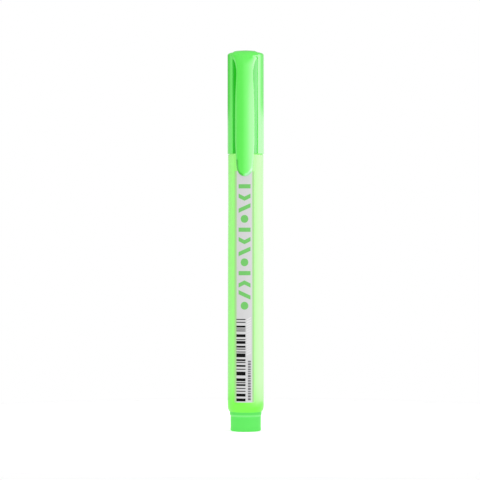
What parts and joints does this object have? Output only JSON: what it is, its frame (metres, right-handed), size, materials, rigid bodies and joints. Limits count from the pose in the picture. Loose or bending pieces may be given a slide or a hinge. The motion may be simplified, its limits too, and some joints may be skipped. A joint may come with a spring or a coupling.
{
  "type": "highlighter",
  "caption": "Slim round capped highlighter: clear tinted barrel with a printed strip, chisel felt nib, rear plug, and a pull-off cap with a long flexing pocket clip.",
  "frame": {"origin": "centre of the plane that the rear plug's standing ring rests on", "axes": "+Z along the pen's axis from the rear plug to the nib and cap, -Y towards the clip, +X to the right of someone facing the clip"},
  "size_m": [0.0126, 0.0145, 0.132],
  "materials": {
    "clear_green": "clear moulded plastic, tinted by the ink behind it",
    "green": "glossy fluorescent green, slightly translucent",
    "white": "natural moulded plastic",
    "nib_felt": "bonded fibre wet with fluorescent ink",
    "ink_fibre": "fibre filler soaked with fluorescent ink",
    "clear_film": "thin clear wrap",
    "print": "satin grey printed film"
  },
  "bodies": {
    "barrel": {"barrel": "clear_green", "rear_plug": "green", "front_section": "white", "nib": "nib_felt", "reservoir_core": "ink_fibre", "reservoir_film": "clear_film", "label_film": "print"},
    "cap_liner": {"inner_cap": "white"},
    "cap": {"cap_shell": "green"},
    "clip": {"clip_arm": "green"}
  },
  "joints": [
    {"name": "cap_pull", "type": "slide", "parent": "barrel", "child": "cap_liner", "axis": [0, 0, 1], "range_m": [0, 0.045]},
    {"name": "cap_turn", "type": "hinge", "parent": "cap_liner", "child": "cap", "pos_m": [0, 0, 0.115], "axis": [0, 0, 1], "continuous": true},
    {"name": "clip_flex", "type": "hinge", "parent": "cap", "child": "clip", "pos_m": [0, -0.0075, 0.1256], "axis": [-1, 0, 0], "range_deg": [0, 5], "stiffness_Nm_per_rad": 0.15}
  ]
}
